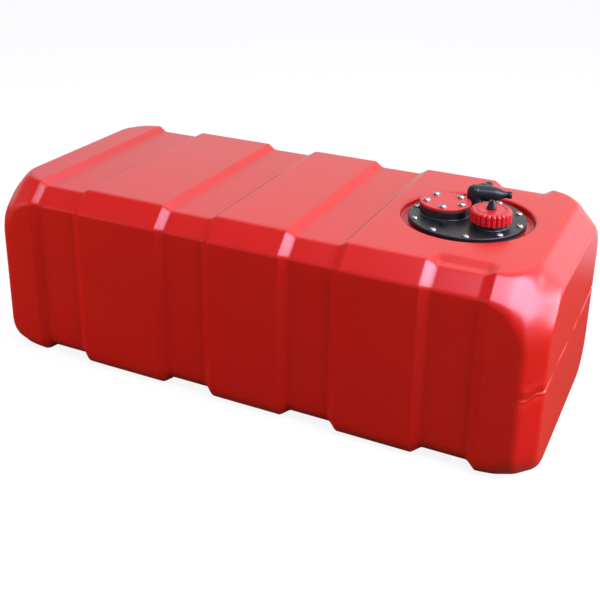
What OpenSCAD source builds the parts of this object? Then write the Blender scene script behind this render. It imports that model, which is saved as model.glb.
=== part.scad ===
// Fixed fuel tank: a moulded red tank with strap bands and a black service plate in a round well.
// X runs along the tank, -Y is the front, +Z is up, and the origin is the middle of the underside.

/* [Tank moulding] */
// Overall length
tank_l = 800; // [790:5:900]
// Overall width
tank_w = 360; // [340:2:420]
// Overall height
tank_h = 264.5; // [250:0.5:300]
// Wall thickness
wall_t = 4.5; // [3.5:0.5:6]
// Width of the long top chamfer, measured across the top
chamfer_y = 26; // [18:1:30]
// Height of the long top chamfer, measured down the side
chamfer_z = 26.5; // [20:0.5:34]
// Rounding of the edges of the long top chamfer
chamfer_edge_r = 8; // [4:1:12]
// Length along the tank of the upright corner chamfers
corner_run = 24; // [18:1:30]
// Depth of the upright corner chamfers, measured across the end
corner_in = 27; // [18:1:30]
// Length along the tank of the chamfers above the end faces
brow_run = 29; // [20:1:34]
// Height of the chamfers above the end faces
brow_drop = 26.5; // [20:0.5:34]
// Rounding of the edges of the end chamfers
end_edge_r = 14; // [10:1:18]
// Radius of the rounded upper corners of the side faces
face_r = 52; // [40:1:58]
// Radius of the sweep from the underside up to each end face
foot_r = 9; // [7:1:30]
// Radius of the long bottom edges
keel_r = 24; // [16:1:30]
// Radius of the bottom edges where they meet the end faces
heel_r = 46; // [36:1:54]

/* [Strap bands] */
// Distances of the three bands that go right round, from the left end
band_at = [116, 321, 504];
// Distance of the band that stops short of the well, from the right end
side_band_at = 112; // [105:1:120]
// Width of a band between its outer edges
band_w = 85; // [70:1:92]
// Depth of a band
band_depth = 7; // [4:0.5:9]
// Run of the sloped walls of a band
band_slope = 13.5; // [8:0.5:18]
// Flat width of the side band's ledge on the top face
ledge_flat = 6.5; // [4:0.5:10]

/* [Well and seat] */
// Distance of the well's middle from the right end
well_at = 150; // [142:1:154]
// Radius of the well
well_r = 87; // [84:0.5:92]
// Rounding of the well's lip
lip_r = 7; // [4:0.5:9]
// Depth of the gutter round the seat
gutter_depth = 15; // [13:0.5:20]
// Height of the seat above the gutter
seat_h = 7.5; // [5:0.5:8]
// Radius of the seat
seat_r = 76.5; // [76:0.5:78]
// Radius of the hole into the tank
hole_r = 60; // [57:0.5:62]

/* [Service plate] */
// Radius of the plate
plate_r = 77.5; // [77:0.5:80]
// Thickness of the plate
plate_t = 5; // [4:0.5:8]
// Rounding of the plate's upper edge
plate_edge_r = 1.5; // [1:0.5:3]
// Thickness of the plate's gasket
gasket_t = 2; // [1:0.5:3]
// Number of plate screws
plate_screws_n = 10; // [8:1:12]
// Radius of the plate's screw circle
plate_screw_pcr = 70; // [69.5:0.5:71.5]
// Angle of the first plate screw
plate_screw_turn = -3; // [-18:1:18]
// Depth of the locating rim under the plate
rim_depth = 6; // [4:0.5:10]
// Wall of the locating rim
rim_t = 3; // [2:0.5:4]
// Gap between the locating rim and the hole
rim_gap = 1; // [0.5:0.1:2]

/* [Screws] */
// Radius of a screw's shank
screw_r = 2.5; // [2:0.25:2.5]
// Radius of a screw's domed head
head_r = 5; // [4.5:0.25:5.5]
// Height of a screw's domed head
head_h = 3.2; // [2.5:0.1:4]
// Radial gap round a shank in a clearance hole
screw_gap = 0.3; // [0.2:0.05:0.5]
// Radial gap of a threaded pair
thread_gap = 0.08; // [0.05:0.01:0.1]
// Outer radius of a threaded brass insert
insert_r = 3.8; // [3.5:0.1:4.2]
// Length of a threaded brass insert
insert_h = 7; // [5:0.5:8]

/* [Sender port] */
// Place of the port on the plate, measured from the plate's middle
port_pos = [-31, 2.5];
// Radius of the port's collar and of its disc
port_r = 33.5; // [33:0.5:35]
// Height of the collar
collar_h = 10; // [8:0.5:11]
// Radius of the bore through the collar
port_bore_r = 19; // [17:0.5:20]
// Radius of the disc's screw circle
port_pcr = 24.8; // [24.5:0.1:27]
// Angles of the disc's screws
port_screw_angles = [-158, 137, 54, -15, -81];
// Thickness of the disc's gasket
port_gasket_t = 1.5; // [1:0.25:2]
// Thickness of the disc
disc_t = 3.5; // [3:0.25:5]
// Thickness of the sealing washers under the disc's screws
washer_t = 1; // [0.8:0.1:1.5]
// Radius of those washers
washer_r = 5.4; // [5.1:0.1:5.8]

/* [Filler] */
// Place of the filler on the plate, measured from the plate's middle
filler_pos = [35, -17];
// Outer radius of the filler neck
neck_r = 22.5; // [21.5:0.25:23.5]
// Radius of the bore of the filler neck
neck_bore_r = 17.5; // [15:0.5:18]
// Height of the neck above the plate
neck_h = 17.5; // [14:0.5:20]
// Outer radius of the filler cap
cap_r = 26.75; // [26.5:0.25:28.5]
// Height of the filler cap
cap_h = 16; // [13:0.5:17.5]
// Thickness of the top of the cap
cap_top_t = 3; // [2.5:0.25:4]
// Radial gap between the cap's skirt and the neck
cap_gap = 0.4; // [0.3:0.05:0.6]
// Number of flutes round the cap
flutes_n = 24; // [18:1:28]
// Radius of a flute
flute_r = 2.4; // [2:0.1:2.8]
// Depth of a flute
flute_depth = 1.5; // [1:0.1:2]
// Thickness of the cap's seal
cap_seal_t = 2; // [1.5:0.25:3]
// Radius of the ring groove in the cap's top
cap_ring_r = 20; // [17:0.5:22]

/* [Vent screw] */
// Radius of the foot of the vent screw
vent_r = 6.5; // [5.5:0.25:7.5]
// Radius of the tip of the vent screw
vent_tip_r = 3.2; // [2.5:0.1:4]
// Height of the vent screw above its seal
vent_h = 10; // [8:0.5:14]
// Radius of the vent screw's thread
vent_stem_r = 2.5; // [2:0.1:3]
// Thickness of the vent screw's seal
vent_seal_t = 1.2; // [0.8:0.1:2]
// Width of the vent screw's slot
slot_w = 1.6; // [1.2:0.1:2]
// Direction of the vent screw's slot
slot_turn = -63; // [-90:1:90]

/* [Pick-up] */
// Place of the elbow on the plate, measured from the plate's middle
elbow_pos = [-2, 39];
// Direction of the elbow's hose arm
arm_turn = 15; // [0:1:20]
// Direction of the elbow's side branch, measured from the arm
branch_turn = 60; // [56:1:80]
// Height of the hose arm above the plate
arm_z = 19.5; // [17:0.5:23]
// Length of the hose arm
arm_l = 48; // [42:1:56]
// Length of the side branch
branch_l = 38; // [34:1:42]
// Radius of the elbow's body
elbow_r = 10.75; // [9:0.25:11.25]
// Radius of the elbow's foot
elbow_foot_r = 12.25; // [11.5:0.25:12.75]
// Height of the elbow's foot
elbow_foot_h = 4; // [3:0.5:5]
// Radius of the elbow's threaded stem
stem_r = 7; // [6.5:0.25:7.5]
// Radius of the upright passage in the elbow
passage_r = 3.4; // [3:0.1:3.7]
// Radius of the passages in the hose arm and the branch
outlet_r = 2.8; // [2.4:0.1:2.9]
// Radius of the hose land at the end of the arm
arm_land_r = 5; // [4.5:0.1:5.5]
// Radius of the hose land at the end of the branch
branch_land_r = 6; // [5:0.1:6.2]
// Length of a hose land
land_l = 4; // [3:0.5:5]
// Length of a hose tail, from its taper to its mouth
tail_l = 10; // [9:0.5:12]
// Step from a hose tail's waist up to its land
barb_step = 0.7; // [0.4:0.1:1]
// Thickness of the elbow's seal
elbow_seal_t = 1.5; // [1:0.25:2]
// Width across the flats of the elbow's nut
nut_af = 21; // [19:0.5:22]
// Height of the elbow's nut
nut_h = 6; // [5:0.5:8]
// Outer radius of the pick-up tube
tube_r = 6; // [5.5:0.25:6.5]
// Wall of the pick-up tube
tube_t = 1.5; // [1:0.25:1.5]
// Radius of the strainer
strainer_r = 10; // [9:0.5:12]
// Height of the strainer
strainer_h = 26; // [22:1:32]
// Gap between the strainer and the floor of the tank
strainer_gap = 6; // [4:0.5:10]
// Number of windows round the strainer
windows_n = 8; // [6:1:8]

/* [Blanking plug] */
// Place of the plug on the plate, measured from the plate's middle
plug_pos = [-19, -43];
// Radius of the plug's head
plug_r = 5; // [4.5:0.25:6]
// Height of the plug's head
plug_h = 4; // [3:0.5:5]
// Radius of the plug's stem
plug_stem_r = 3.2; // [3:0.1:4]
// Thickness of the plug's seal
plug_seal_t = 1.2; // [0.8:0.1:1.6]

/* [Hidden] */

$fn = 64;
// How far a cutting piece passes the face that it cuts.
overcut = 1;
// Radial gap between a seal and the stem or wall beside it.
seal_gap = 0.3;
// How far a seal stays inside the flange above it.
seal_inset = 0.5;
// How far a screw's tip stops short of the end of its insert.
tip_gap = 1;
// Length of the elbow's stem below its nut, and of the spigot in the pick-up tube.
stem_end = 3;
spigot_l = 14;
// Wall and floor of the strainer's cage, its lip under the tube and its socket round the tube.
cage_t = 1.2;
cage_floor_t = 2;
cage_lip_t = 1.5;
socket_l = 8;

// Places along the tank, measured from its middle.
band_x = [for (distance = band_at) distance - tank_l / 2];
side_band_x = tank_l / 2 - side_band_at;
well_x = tank_l / 2 - well_at;

// Heights of the stack in the well, from the gutter up to the cap and the vent screw.
gutter_z = tank_h - gutter_depth;
seat_z = gutter_z + seat_h;
plate_z = seat_z + gasket_t;
plate_top = plate_z + plate_t;
collar_top = plate_top + collar_h;
disc_z = collar_top + port_gasket_t;
disc_top = disc_z + disc_t;
neck_top = plate_top + neck_h;
cap_under = neck_top + cap_seal_t;
cap_top = cap_under + cap_top_t;
vent_z = cap_top + vent_seal_t;
elbow_z = plate_top + elbow_seal_t;
arm_axis_z = plate_top + arm_z;
nut_z = plate_z - nut_h;
spigot_z = nut_z - stem_end;
strainer_z = band_depth + wall_t + strainer_gap;
tube_z = strainer_z + strainer_h - socket_l;

// Shared radii of pieces that pass through one another.
hole_for_screw = screw_r + screw_gap;
tap_r = screw_r + thread_gap;
skirt_r = neck_r + cap_gap;
spigot_r = tube_r - tube_t - thread_gap;
cage_bore_r = strainer_r - cage_t;
cage_bore_h = strainer_h - cage_floor_t - cage_lip_t - socket_l;

// Curves of the moulding, written for a distance u from the end of the tank.

// Inset of a chamfer that runs from the end face to a long face, both edges rounded by arcs.
function chamfer_inset(u, run, rise, r) =
    let (slope = atan(rise / run))
    let (near = r * tan(slope / 2))
    let (far = r * tan((90 - slope) / 2))
    u >= run + near ? 0
    : u >= run - near * cos(slope) ? r - sqrt(r * r - pow(run + near - u, 2))
    : u >= far * cos(slope) ? rise * (1 - u / run)
    : rise + far - sqrt(r * r - pow(r - u, 2));

// Inset of a quarter round of radius r that meets the end face.
function round_inset(u, r) = u >= r ? 0 : r - sqrt(r * r - pow(r - u, 2));

// Where the flat of a side face gives way to the upright corner chamfer.
face_end = corner_run + end_edge_r * tan(atan(corner_in / corner_run) / 2);

// How far the long chamfer has grown into the rounded corner, from 0 along the side to 1 at the end.
function corner_share(u) = round_inset(max(u - face_end, 0), face_r) / face_r;

// Depth of the bands at x: the whole section, or only the middle of its top face.
function band_wave(x, at) =
    let (s = (band_w / 2 - abs(x - at)) / band_slope)
    s <= 0 ? 0 : s >= 1 ? 1 : (1 - cos(180 * s)) / 2;
function round_bands(x) = band_depth * max([for (at = band_x) band_wave(x, at)]);
function all_bands(x) = max(round_bands(x), band_depth * band_wave(x, side_band_x));

// Point at share s of a conic that leaves a towards v and reaches b from v.
function conic(a, v, b, weight, s) =
    let (p = (1 - s) * (1 - s))
    let (q = 2 * weight * s * (1 - s))
    (p * a + q * v + s * s * b) / (p + q + s * s);
corner_weight = 0.924;
square_weight = 0.7071;

// Half of the section at x, from the keel to the top, shrunk by a skin thickness.
// n is the number of steps in each rounding.
function half_section(x, skin, n) =
    let (u = max(tank_l / 2 - skin - abs(x), 0))
    let (inset = all_bands(x) + skin)
    let (share = corner_share(u))
    let (w = tank_w / 2 - inset - chamfer_inset(u, corner_run, corner_in, end_edge_r))
    let (top_inset = chamfer_inset(u, brow_run, brow_drop, end_edge_r))
    let (top = tank_h - inset - top_inset)
    let (mid_top = tank_h - skin - round_bands(x) - top_inset)
    let (keel = inset + round_inset(u, foot_r))
    let (edge = chamfer_edge_r * tan(22.5))
    let (trim = inset * (2 - sqrt(2)))
    let (reach_y = chamfer_y - trim + edge + face_r * share
                   - chamfer_inset(u, corner_run, corner_in, end_edge_r))
    let (reach_z = chamfer_z - trim + edge + face_r * share - top_inset)
    let (leg_y = (1 - share) * (reach_y - edge) + share * reach_y * (2 - sqrt(2)))
    let (leg_z = (1 - share) * (reach_z - edge) + share * reach_z * (2 - sqrt(2)))
    let (flank = [w, top - leg_z])
    let (crown = [w - leg_y, top])
    let (along = (crown - flank) / norm(crown - flank))
    let (flank_out = flank + along * (reach_z - leg_z))
    let (crown_in = crown - along * (reach_y - leg_y))
    let (r = keel_r + (heel_r - keel_r) * share)
    let (steps = [for (i = [0 : n]) i / n])
    concat([for (s = steps) conic([w - r, keel], [w, keel], [w, keel + r], square_weight, s)],
           [for (s = steps) conic([w, top - reach_z], flank, flank_out, corner_weight, s)],
           [for (s = steps) conic(crown_in, crown, [w - reach_y, top], corner_weight, s)],
           [[w - reach_y - ledge_flat, top]],
           [[w - reach_y - ledge_flat - band_slope, mid_top]]);

// A closed section, anticlockwise seen from +X, as points of the tank.
function section(x, skin, n) =
    let (half = half_section(x, skin, n))
    let (last = len(half) - 1)
    concat([for (p = half) [x, p.x, p.y]], [for (i = [0 : last]) [x, -half[last - i].x, half[last - i].y]]);

// Stations along the tank: rounded ends, and the two sloped walls of every band.
function stations(skin, end_n, wall_n) =
    let (half_l = tank_l / 2 - skin)
    let (span = max(foot_r, face_end + face_r))
    let (ends = [for (i = [0 : end_n]) half_l - span * (1 - cos(90 * i / end_n))])
    let (walls = [for (at = concat(band_x, [side_band_x]))
                  for (side = [-1, 1])
                  for (i = [0 : wall_n])
                  at + side * (band_w / 2 - (side < 0 ? i : wall_n - i) / wall_n * band_slope)])
    ordered(concat([for (x = ends) -x], walls, [for (i = [0 : end_n]) ends[end_n - i]]));
function ordered(v) =
    len(v) < 2 ? v
    : let (pivot = v[floor(len(v) / 2)])
      concat(ordered([for (x = v) if (x < pivot) x]), [pivot], ordered([for (x = v) if (x > pivot) x]));

// Skin through all sections, with a flat face at each end.
module loft(skin, n, end_n, wall_n) {
    xs = stations(skin, end_n, wall_n);
    rings = [for (x = xs) section(x, skin, n)];
    m = len(rings[0]);
    last = len(xs) - 1;
    quads = [for (k = [0 : last - 1])
             for (j = [0 : m - 1])
             let (a = k * m + j)
             let (b = k * m + (j + 1) % m)
             each [[a, a + m, b + m], [a, b + m, b]]];
    caps = [[for (j = [0 : m - 1]) j], [for (j = [0 : m - 1]) last * m + m - 1 - j]];
    polyhedron([for (ring = rings) each ring], concat(quads, caps), convexity = 6);
}

// Copies of a piece on a circle of screws.
module on_circle(n, r, turn) {
    for (i = [0 : n - 1])
        rotate(turn + i * 360 / n)
            translate([r, 0])
                children();
}
module on_plate_screws() {
    translate([well_x, 0])
        on_circle(plate_screws_n, plate_screw_pcr, plate_screw_turn)
            children();
}
module on_port_screws() {
    translate([well_x + port_pos.x, port_pos.y])
        for (angle = port_screw_angles)
            rotate(angle)
                translate([port_pcr, 0])
                    children();
}
module on_plate(pos) {
    translate([well_x + pos.x, pos.y])
        children();
}

// Flat ring that stands on z.
module ring(outer, inner, z, h) {
    translate([0, 0, z])
        difference() {
            cylinder(r = outer, h = h);
            translate([0, 0, -overcut])
                cylinder(r = inner, h = h + 2 * overcut);
        }
}

// Domed screw with its head on z and its shank below.
module dome_screw(z, shank_l) {
    dome_r = (head_r * head_r + head_h * head_h) / (2 * head_h);
    translate([0, 0, z])
        rotate_extrude()
            intersection() {
                translate([0, head_h - dome_r])
                    circle(r = dome_r);
                square([head_r, head_h]);
            }
    translate([0, 0, z - shank_l])
        cylinder(r = screw_r, h = shank_l);
}

// Threaded brass insert with its mouth on z.
module insert(z) {
    ring(insert_r, tap_r, z - insert_h, insert_h);
}

// Outline of the well, turned about its axis: gutter, seat and rounded lip.
module well_cut() {
    rotate_extrude($fn = 96) {
        translate([0, seat_z])
            square([seat_r, gutter_depth + overcut]);
        translate([0, gutter_z])
            difference() {
                square([well_r, gutter_depth + overcut]);
                square([seat_r, seat_h]);
            }
        difference() {
            translate([0, tank_h - lip_r])
                square([well_r + lip_r, lip_r + overcut]);
            translate([well_r + lip_r, tank_h - lip_r])
                circle(r = lip_r);
        }
    }
}

// One-piece moulded tank: hollow, with the well and its seat formed into the top.
module tank_shell() {
    color("firebrick")
        difference() {
            loft(0, 4, 11, 4);
            difference() {
                loft(wall_t, 2, 6, 2);
                translate([well_x, 0, gutter_z - wall_t])
                    cylinder(r = well_r + wall_t, h = gutter_depth + wall_t);
            }
            translate([well_x, 0])
                well_cut();
            translate([well_x, 0, gutter_z - wall_t - overcut])
                cylinder(r = hole_r, h = seat_h + wall_t + 2 * overcut);
            on_plate_screws()
                translate([0, 0, seat_z - insert_h])
                    cylinder(r = insert_r, h = insert_h + overcut);
        }
}

// Brass inserts moulded into the seat, one for each plate screw.
module plate_inserts() {
    color("goldenrod")
        on_plate_screws()
            insert(seat_z);
}

// Flat rubber gasket between the seat and the plate.
module plate_gasket() {
    color("dimgray")
        difference() {
            translate([well_x, 0])
                ring(seat_r, hole_r, seat_z, gasket_t);
            on_plate_screws()
                translate([0, 0, seat_z - overcut])
                    cylinder(r = hole_for_screw, h = gasket_t + 2 * overcut);
        }
}

// Moulded black plate with the filler neck, the sender collar and a locating rim below.
module service_plate() {
    rim_r = hole_r - rim_gap;
    color("#26282a")
        difference() {
            union() {
                translate([well_x, 0, plate_z])
                    rotate_extrude($fn = 96) {
                        square([plate_r - plate_edge_r, plate_t]);
                        square([plate_r, plate_t - plate_edge_r]);
                        translate([plate_r - plate_edge_r, plate_t - plate_edge_r])
                            circle(r = plate_edge_r);
                    }
                translate([well_x, 0])
                    ring(rim_r, rim_r - rim_t, plate_z - rim_depth, rim_depth);
                on_plate(port_pos)
                    translate([0, 0, plate_top])
                        cylinder(r = port_r, h = collar_h);
                on_plate(filler_pos)
                    translate([0, 0, plate_top])
                        cylinder(r = neck_r, h = neck_h);
            }
            on_plate(port_pos)
                translate([0, 0, plate_z - overcut])
                    cylinder(r = port_bore_r, h = plate_t + collar_h + 2 * overcut);
            on_plate(filler_pos)
                translate([0, 0, plate_z - rim_depth - overcut])
                    cylinder(r = neck_bore_r, h = rim_depth + plate_t + neck_h + 2 * overcut);
            on_plate(elbow_pos)
                translate([0, 0, plate_z - overcut])
                    cylinder(r = stem_r + thread_gap, h = plate_t + 2 * overcut);
            on_plate(plug_pos)
                translate([0, 0, plate_z - overcut])
                    cylinder(r = plug_stem_r + thread_gap, h = plate_t + 2 * overcut);
            on_plate_screws()
                translate([0, 0, plate_z - overcut])
                    cylinder(r = hole_for_screw, h = plate_t + 2 * overcut);
            on_port_screws()
                translate([0, 0, collar_top - insert_h])
                    cylinder(r = insert_r, h = insert_h + overcut);
        }
}

// Stainless screws that hold the plate down.
module plate_screws() {
    color("silver")
        on_plate_screws()
            dome_screw(plate_top, plate_t + gasket_t + insert_h - tip_gap);
}

// Brass inserts in the collar, one for each screw of the sender disc.
module sender_inserts() {
    color("goldenrod")
        on_port_screws()
            insert(collar_top);
}

// Thin rubber gasket between the collar and the sender disc.
module sender_gasket() {
    color("dimgray")
        difference() {
            on_plate(port_pos)
                ring(port_r, port_bore_r, collar_top, port_gasket_t);
            on_port_screws()
                translate([0, 0, collar_top - overcut])
                    cylinder(r = hole_for_screw, h = port_gasket_t + 2 * overcut);
        }
}

// Red disc that blanks the sender port.
module sender_disc() {
    color("crimson")
        difference() {
            on_plate(port_pos)
                translate([0, 0, disc_z])
                    cylinder(r = port_r, h = disc_t);
            on_port_screws()
                translate([0, 0, disc_z - overcut])
                    cylinder(r = hole_for_screw, h = disc_t + 2 * overcut);
        }
}

// Sealing washers under the heads of the disc's screws.
module sender_washers() {
    color("gray")
        on_port_screws()
            ring(washer_r, hole_for_screw, disc_top, washer_t);
}

// Stainless screws that hold the sender disc.
module sender_screws() {
    color("silver")
        on_port_screws()
            dome_screw(disc_top + washer_t, washer_t + disc_t + port_gasket_t + insert_h - tip_gap);
}

// Red filler cap with a fluted skirt, a ring groove on top and a tapped hole for the vent screw.
module filler_cap() {
    skirt_z = cap_top - cap_h;
    top_edge = 1.5;
    groove = 0.8;
    color("crimson")
        on_plate(filler_pos)
            difference() {
                union() {
                    translate([0, 0, skirt_z])
                        cylinder(r = cap_r, h = cap_h - top_edge);
                    translate([0, 0, cap_top - top_edge])
                        cylinder(r1 = cap_r, r2 = cap_r - top_edge, h = top_edge);
                }
                translate([0, 0, skirt_z - overcut])
                    cylinder(r = skirt_r, h = cap_h - cap_top_t + overcut);
                on_circle(flutes_n, cap_r + flute_r - flute_depth, 0)
                    translate([0, 0, skirt_z - overcut])
                        cylinder(r = flute_r, h = cap_h + 2 * overcut);
                ring(cap_ring_r, cap_ring_r - groove, cap_top - groove, groove + overcut);
                translate([0, 0, cap_under - overcut])
                    cylinder(r = vent_stem_r + thread_gap, h = cap_top_t + 2 * overcut);
            }
}

// Rubber seal in the cap that closes on the rim of the neck.
module cap_seal() {
    color("dimgray")
        on_plate(filler_pos)
            ring(neck_r - seal_gap, neck_bore_r, neck_top, cap_seal_t);
}

// Black cone-headed vent screw with a slot across its tip.
module vent_screw() {
    flange_h = 1.5;
    flange_step = 0.5;
    slot_depth = 4.5;
    color("#1d1e20")
        on_plate(filler_pos)
            difference() {
                union() {
                    translate([0, 0, cap_under])
                        cylinder(r = vent_stem_r, h = cap_top_t + vent_seal_t);
                    translate([0, 0, vent_z])
                        cylinder(r = vent_r, h = flange_h);
                    translate([0, 0, vent_z + flange_h])
                        cylinder(r1 = vent_r - flange_step, r2 = vent_tip_r, h = vent_h - flange_h);
                }
                rotate(slot_turn)
                    translate([-vent_r, -slot_w / 2, vent_z + vent_h - slot_depth])
                        cube([2 * vent_r, slot_w, slot_depth + overcut]);
            }
}

// Rubber seal under the vent screw.
module vent_seal() {
    color("dimgray")
        on_plate(filler_pos)
            ring(vent_r - seal_inset, vent_stem_r + seal_gap, cap_top, vent_seal_t);
}

// Hose arm along +Z: a round taper from its root, a waist, a barbed land and a bevelled mouth.
module hose_arm(root_r, land_r, l) {
    bevel = 1.5;
    waist_r = land_r - barb_step;
    barb_z = l - bevel - land_l;
    rotate_extrude()
        polygon([[0, 0], [root_r, 0], [root_r, elbow_r / 2], [waist_r, l - tail_l], [waist_r, barb_z],
                 [land_r, barb_z], [land_r, l - bevel], [waist_r, l], [0, l]]);
}

// Black elbow that fuel leaves by: a domed body, a hose arm, a side branch and a threaded stem.
module pickup_elbow() {
    dome_z = arm_axis_z + 2;
    arm_root_r = elbow_r - 0.6;
    branch_root_r = elbow_r - 2;
    color("#1d1e20")
        on_plate(elbow_pos)
            difference() {
                union() {
                    translate([0, 0, elbow_z])
                        cylinder(r = elbow_foot_r, h = elbow_foot_h);
                    translate([0, 0, elbow_z])
                        cylinder(r = elbow_r, h = dome_z - elbow_z);
                    translate([0, 0, dome_z])
                        sphere(r = elbow_r);
                    translate([0, 0, arm_axis_z])
                        rotate([0, 90, arm_turn])
                            hose_arm(arm_root_r, arm_land_r, arm_l);
                    translate([0, 0, arm_axis_z])
                        rotate([0, 90, arm_turn + branch_turn])
                            hose_arm(branch_root_r, branch_land_r, branch_l);
                    translate([0, 0, spigot_z])
                        cylinder(r = stem_r, h = elbow_z - spigot_z);
                    translate([0, 0, spigot_z - spigot_l])
                        cylinder(r = spigot_r, h = spigot_l);
                }
                translate([0, 0, spigot_z - spigot_l - overcut])
                    cylinder(r = passage_r, h = arm_axis_z + passage_r - spigot_z + spigot_l + overcut);
                for (turn = [arm_turn, arm_turn + branch_turn])
                    translate([0, 0, arm_axis_z])
                        rotate([0, 90, turn])
                            cylinder(r = outlet_r, h = max(arm_l, branch_l) + overcut);
            }
}

// Rubber seal under the elbow's foot.
module elbow_seal() {
    color("dimgray")
        on_plate(elbow_pos)
            ring(elbow_foot_r - seal_inset, stem_r + seal_gap, plate_top, elbow_seal_t);
}

// Hexagon nut that clamps the elbow from below.
module elbow_nut() {
    color("#26282a")
        on_plate(elbow_pos)
            translate([0, 0, nut_z])
                difference() {
                    cylinder(r = nut_af / sqrt(3), h = nut_h, $fn = 6);
                    translate([0, 0, -overcut])
                        cylinder(r = stem_r + thread_gap, h = nut_h + 2 * overcut);
                }
}

// Pick-up tube from the elbow's spigot down into the strainer.
module pickup_tube() {
    color("gainsboro")
        on_plate(elbow_pos)
            ring(tube_r, tube_r - tube_t, tube_z, spigot_z - tube_z);
}

// Windowed cage round the foot of the pick-up tube, with a lip that the tube stands on.
module strainer_cage() {
    window_w = 3;
    sill_h = 2;
    color("whitesmoke")
        on_plate(elbow_pos)
            difference() {
                translate([0, 0, strainer_z])
                    cylinder(r = strainer_r, h = strainer_h);
                translate([0, 0, strainer_z + cage_floor_t])
                    cylinder(r = cage_bore_r, h = cage_bore_h);
                translate([0, 0, tube_z - cage_lip_t - overcut])
                    cylinder(r = tube_r - tube_t, h = cage_lip_t + 2 * overcut);
                translate([0, 0, tube_z])
                    cylinder(r = tube_r + thread_gap, h = socket_l + overcut);
                translate([0, 0, strainer_z + cage_floor_t + sill_h])
                    on_circle(windows_n, 0, 0)
                        translate([0, -window_w / 2, 0])
                            cube([strainer_r + overcut, window_w, cage_bore_h - 2 * sill_h]);
            }
}

// Fine screen that lines the cage.
module strainer_screen() {
    screen_t = 0.5;
    screen_r = cage_bore_r - thread_gap;
    color("silver")
        on_plate(elbow_pos)
            ring(screen_r, screen_r - screen_t, strainer_z + cage_floor_t, cage_bore_h);
}

// Small slotted plug in the spare hole of the plate.
module blanking_plug() {
    slot_depth = 1.5;
    color("#1d1e20")
        on_plate(plug_pos)
            difference() {
                union() {
                    translate([0, 0, plate_top + plug_seal_t])
                        cylinder(r = plug_r, h = plug_h);
                    translate([0, 0, plate_z])
                        cylinder(r = plug_stem_r, h = plate_t + plug_seal_t);
                }
                translate([-plug_r, -slot_w / 2, plate_top + plug_seal_t + plug_h - slot_depth])
                    cube([2 * plug_r, slot_w, slot_depth + overcut]);
            }
}

// Rubber seal under the plug's head.
module plug_seal() {
    color("dimgray")
        on_plate(plug_pos)
            ring(plug_r - seal_inset, plug_stem_r + seal_gap, plate_top, plug_seal_t);
}

tank_shell();
plate_inserts();
plate_gasket();
service_plate();
plate_screws();
sender_inserts();
sender_gasket();
sender_disc();
sender_washers();
sender_screws();
filler_cap();
cap_seal();
vent_screw();
vent_seal();
pickup_elbow();
elbow_seal();
elbow_nut();
pickup_tube();
strainer_cage();
strainer_screen();
blanking_plug();
plug_seal();
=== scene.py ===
import math

import bmesh
import bpy
import numpy as np
from mathutils import Matrix, Vector


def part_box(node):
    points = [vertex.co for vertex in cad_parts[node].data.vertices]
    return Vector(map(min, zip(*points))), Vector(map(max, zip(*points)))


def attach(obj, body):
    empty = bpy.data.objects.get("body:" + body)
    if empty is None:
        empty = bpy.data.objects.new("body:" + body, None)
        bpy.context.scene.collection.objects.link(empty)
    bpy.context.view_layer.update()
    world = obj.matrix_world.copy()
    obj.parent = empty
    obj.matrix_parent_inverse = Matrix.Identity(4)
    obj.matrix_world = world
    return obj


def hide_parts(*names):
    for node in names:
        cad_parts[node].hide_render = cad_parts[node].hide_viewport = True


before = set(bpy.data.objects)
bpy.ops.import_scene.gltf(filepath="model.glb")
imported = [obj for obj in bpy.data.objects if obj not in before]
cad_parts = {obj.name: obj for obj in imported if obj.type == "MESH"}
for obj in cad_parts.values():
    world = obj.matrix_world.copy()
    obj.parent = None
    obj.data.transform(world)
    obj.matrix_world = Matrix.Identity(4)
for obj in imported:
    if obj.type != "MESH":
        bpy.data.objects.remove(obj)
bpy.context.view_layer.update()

# The tank body is one hollow moulding in red polyethylene, made in a split mould: flat faces with
# chamfered upper edges, three strap bands right round it, a fourth band on its sides only, and a round
# well for the service plate. A fine raised line at mid-height shows where the mould parted.
# The moulding is line_room smaller on each side than the tank's full size, 800 by 360 mm, which leaves room
# for the raised line.
mm = 0.001
line_room = 0.6
tank_length, tank_width, tank_height = 800.0 - 2 * line_room, 360.0 - 2 * line_room, 264.5
tank_wall = 4.5
chamfer_y, chamfer_z, chamfer_edge_r = 26.0, 26.5, 8.0
corner_run, corner_in = 24.0, 27.0
brow_run, brow_drop = 29.0, 26.5
end_edge_r, face_r, foot_r = 14.0, 52.0, 9.0
face_end = corner_run + end_edge_r * math.tan(math.atan2(corner_in, corner_run) / 2)
face_blend = 10.0
corner_cut, corner_power = 67.0, 2.3
least_arc = 0.5
keel_r, heel_r = 24.0, 46.0
quarter_weight, eighth_weight = 0.7071, 0.924
band_x, side_band_x = (-284.0, -79.0, 104.0), 288.0
band_width, band_depth, band_slope = 85.0, 7.0, 15.5
ledge_flat, crest_room = 6.5, 3.0
parting_z = 125.0
line_rows = np.array([0.5, 1.2, 2, 2.8, 3.8, 5, 6.5, 8.5, 11, 14, 17, 20, 24])
top_columns = 26
fan_shares = np.array([0, 0.15, 0.3, 0.45, 0.6, 0.75, 0.88, 0.96])


def round_inset(u, radius):
    """How far a rounded edge pulls in at u from the end: r - sqrt(r^2 - (r - u)^2), and 0 from u = r on."""
    return radius - np.sqrt(radius**2 - np.clip(radius - u, 0, radius) ** 2)


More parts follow.
